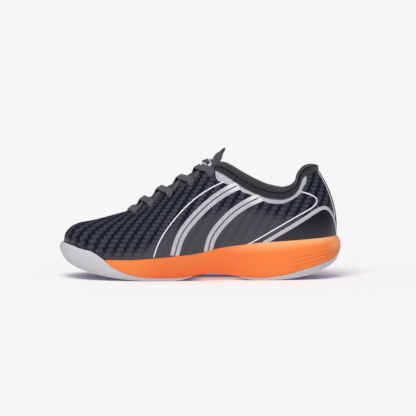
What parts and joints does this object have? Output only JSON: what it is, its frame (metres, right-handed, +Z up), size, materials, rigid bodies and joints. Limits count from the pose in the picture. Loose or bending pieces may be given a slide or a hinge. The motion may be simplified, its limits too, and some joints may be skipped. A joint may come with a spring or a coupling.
{
  "type": "court shoe",
  "caption": "Low-cut left court shoe: woven upper with silver film bands, padded collar, laced throat, foam midsole, rubber toe cap and split treads.",
  "frame": {"origin": "on the ground under the middle of the shoe's bounding box", "axes": "+X to the heel, -X to the toe, +Y to the medial (inner) side, +Z up from the ground"},
  "size_m": [0.2884, 0.1044, 0.135],
  "materials": {
    "outsole_forefoot": "matt white rubber",
    "outsole_heel": "matt white rubber",
    "midsole": "moulded foam, matt orange skin",
    "midfoot_shank": "satin black plastic",
    "strobel_board": "plain board",
    "sockliner": "brushed knit",
    "toe_puff": "stiffened fabric, hidden",
    "heel_counter": "thermoplastic sheet, hidden",
    "vamp": "coated woven print, semi-gloss",
    "quarter_lateral": "coated woven print, semi-gloss",
    "quarter_medial": "coated woven print, semi-gloss",
    "eyestay_lateral": "coated woven print, semi-gloss",
    "eyestay_medial": "coated woven print, semi-gloss",
    "heel_cover_lateral": "thin satin film",
    "heel_cover_medial": "thin satin film",
    "backstay_strip": "thin satin film",
    "band_front_lateral": "thin silver film",
    "band_front_medial": "thin silver film",
    "band_rear_lateral": "thin silver film",
    "band_rear_medial": "thin silver film",
    "collar_edge_lateral": "thin silver film",
    "collar_edge_medial": "thin silver film",
    "collar_lining": "mesh",
    "collar_padding": "knit over foam",
    "tongue": "spacer mesh",
    "tongue_cuff": "knit over foam",
    "tongue_label": "plain light label",
    "lace": "flat woven lace",
    "lace_end_lateral": "flat woven lace",
    "lace_end_medial": "flat woven lace",
    "aglet_lateral": "gloss sleeve",
    "aglet_medial": "gloss sleeve"
  },
  "bodies": {
    "rearfoot": {"outsole_forefoot": "outsole_forefoot", "outsole_heel": "outsole_heel", "midsole": "midsole", "midfoot_shank": "midfoot_shank", "strobel_board": "strobel_board", "sockliner": "sockliner", "heel_counter": "heel_counter", "quarter_lateral": "quarter_lateral", "quarter_medial": "quarter_medial", "eyestay_lateral": "eyestay_lateral", "eyestay_medial": "eyestay_medial", "heel_cover_lateral": "heel_cover_lateral", "heel_cover_medial": "heel_cover_medial", "backstay_strip": "backstay_strip", "band_front_lateral": "band_front_lateral", "band_front_medial": "band_front_medial", "band_rear_lateral": "band_rear_lateral", "band_rear_medial": "band_rear_medial", "collar_edge_lateral": "collar_edge_lateral", "collar_edge_medial": "collar_edge_medial", "collar_lining": "collar_lining", "collar_padding": "collar_padding", "tongue": "tongue", "lace": "lace"},
    "forefoot": {"vamp": "vamp", "toe_puff": "toe_puff"},
    "cuff": {"tongue_cuff": "tongue_cuff", "tongue_label": "tongue_label"},
    "lace_tip_lateral": {"lace_end_lateral": "lace_end_lateral", "aglet_lateral": "aglet_lateral"},
    "lace_tip_medial": {"lace_end_medial": "lace_end_medial", "aglet_medial": "aglet_medial"}
  },
  "joints": [
    {"name": "toe_flex", "type": "hinge", "parent": "rearfoot", "child": "forefoot", "pos_m": [-0.05, 0, 0.02], "axis": [0, 1, 0], "range_deg": [0, 30], "stiffness_Nm_per_rad": 0.6, "deforming": ["midsole", "outsole_forefoot", "strobel_board", "sockliner", "quarter_lateral", "quarter_medial", "eyestay_lateral", "eyestay_medial", "lace", "tongue"]},
    {"name": "tongue_cuff_tilt", "type": "hinge", "parent": "rearfoot", "child": "cuff", "pos_m": [0.0024, 0.00078, 0.1103], "axis": [0, 1, 0], "range_deg": [0, 15]},
    {"name": "lace_end_lateral_swing", "type": "hinge", "parent": "rearfoot", "child": "lace_tip_lateral", "pos_m": [0.01436, -0.01836, 0.11748], "axis": [0, 1, 0], "range_deg": [-15, 15]},
    {"name": "lace_end_medial_swing", "type": "hinge", "parent": "rearfoot", "child": "lace_tip_medial", "pos_m": [0.00899, 0.01994, 0.11871], "axis": [1, 0, 0], "range_deg": [-4, 20]}
  ]
}
